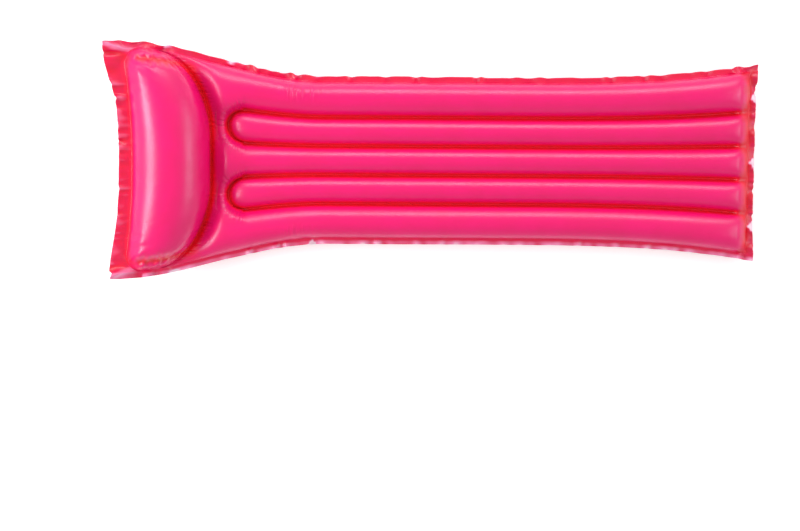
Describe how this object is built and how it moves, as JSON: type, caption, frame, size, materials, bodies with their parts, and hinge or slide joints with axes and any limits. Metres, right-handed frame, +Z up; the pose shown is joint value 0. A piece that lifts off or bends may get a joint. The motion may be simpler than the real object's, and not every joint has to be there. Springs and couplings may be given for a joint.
{
  "type": "pool air mattress",
  "caption": "Inflatable pool air mattress with lengthwise air channels, a raised pillow, welded film edges and capped valves on the underside.",
  "frame": {"origin": "on the floor under the middle of the mattress's bounding box", "axes": "+X along the mattress towards the foot end, +Y across it, +Z up from the floor"},
  "size_m": [1.6997, 0.626, 0.1996],
  "materials": {
    "film": "glossy pink vinyl film",
    "valve": "soft clear vinyl moulding"
  },
  "bodies": {
    "mattress": {"mattress_top_sheet": "film", "mattress_bottom_sheet": "film", "body_valve_flange": "valve", "body_valve_web": "valve"},
    "pillow": {"pillow_top_sheet": "film", "pillow_bottom_sheet": "film", "pillow_valve_flange": "valve", "pillow_valve_web": "valve"},
    "body_stem": {"body_valve_stem": "valve"},
    "body_cap": {"body_valve_cap": "valve"},
    "body_flap": {"body_valve_flap": "valve"},
    "pillow_stem": {"pillow_valve_stem": "valve"},
    "pillow_cap": {"pillow_valve_cap": "valve"},
    "pillow_flap": {"pillow_valve_flap": "valve"}
  },
  "joints": [
    {"name": "pillow_fold", "type": "hinge", "parent": "mattress", "child": "pillow", "pos_m": [-0.59502, 0, 0.06795], "axis": [0, 1, 0], "range_deg": [-15, 12], "stiffness_Nm_per_rad": 20},
    {"name": "body_stem_pull", "type": "slide", "parent": "mattress", "child": "body_stem", "axis": [-0.0165, 0, -0.9999], "range_m": [0, 0.014], "deforming": ["body_valve_web"]},
    {"name": "body_cap_open", "type": "hinge", "parent": "body_stem", "child": "body_cap", "pos_m": [-0.35509, 0, 0.03117], "axis": [0, 1, 0], "range_deg": [0, 150]},
    {"name": "body_flap_open", "type": "hinge", "parent": "body_stem", "child": "body_flap", "pos_m": [-0.33911, 0, 0.04791], "axis": [0, 1, 0], "range_deg": [0, 60]},
    {"name": "pillow_stem_pull", "type": "slide", "parent": "pillow", "child": "pillow_stem", "axis": [-0.2924, 0, -0.9563], "range_m": [0, 0.014], "deforming": ["pillow_valve_web"]},
    {"name": "pillow_cap_open", "type": "hinge", "parent": "pillow_stem", "child": "pillow_cap", "pos_m": [-0.73802, 0, 0.01229], "axis": [0, 1, 0], "range_deg": [0, 150]},
    {"name": "pillow_flap_open", "type": "hinge", "parent": "pillow_stem", "child": "pillow_flap", "pos_m": [-0.71803, 0, 0.02396], "axis": [0, 1, 0], "range_deg": [0, 60]}
  ]
}
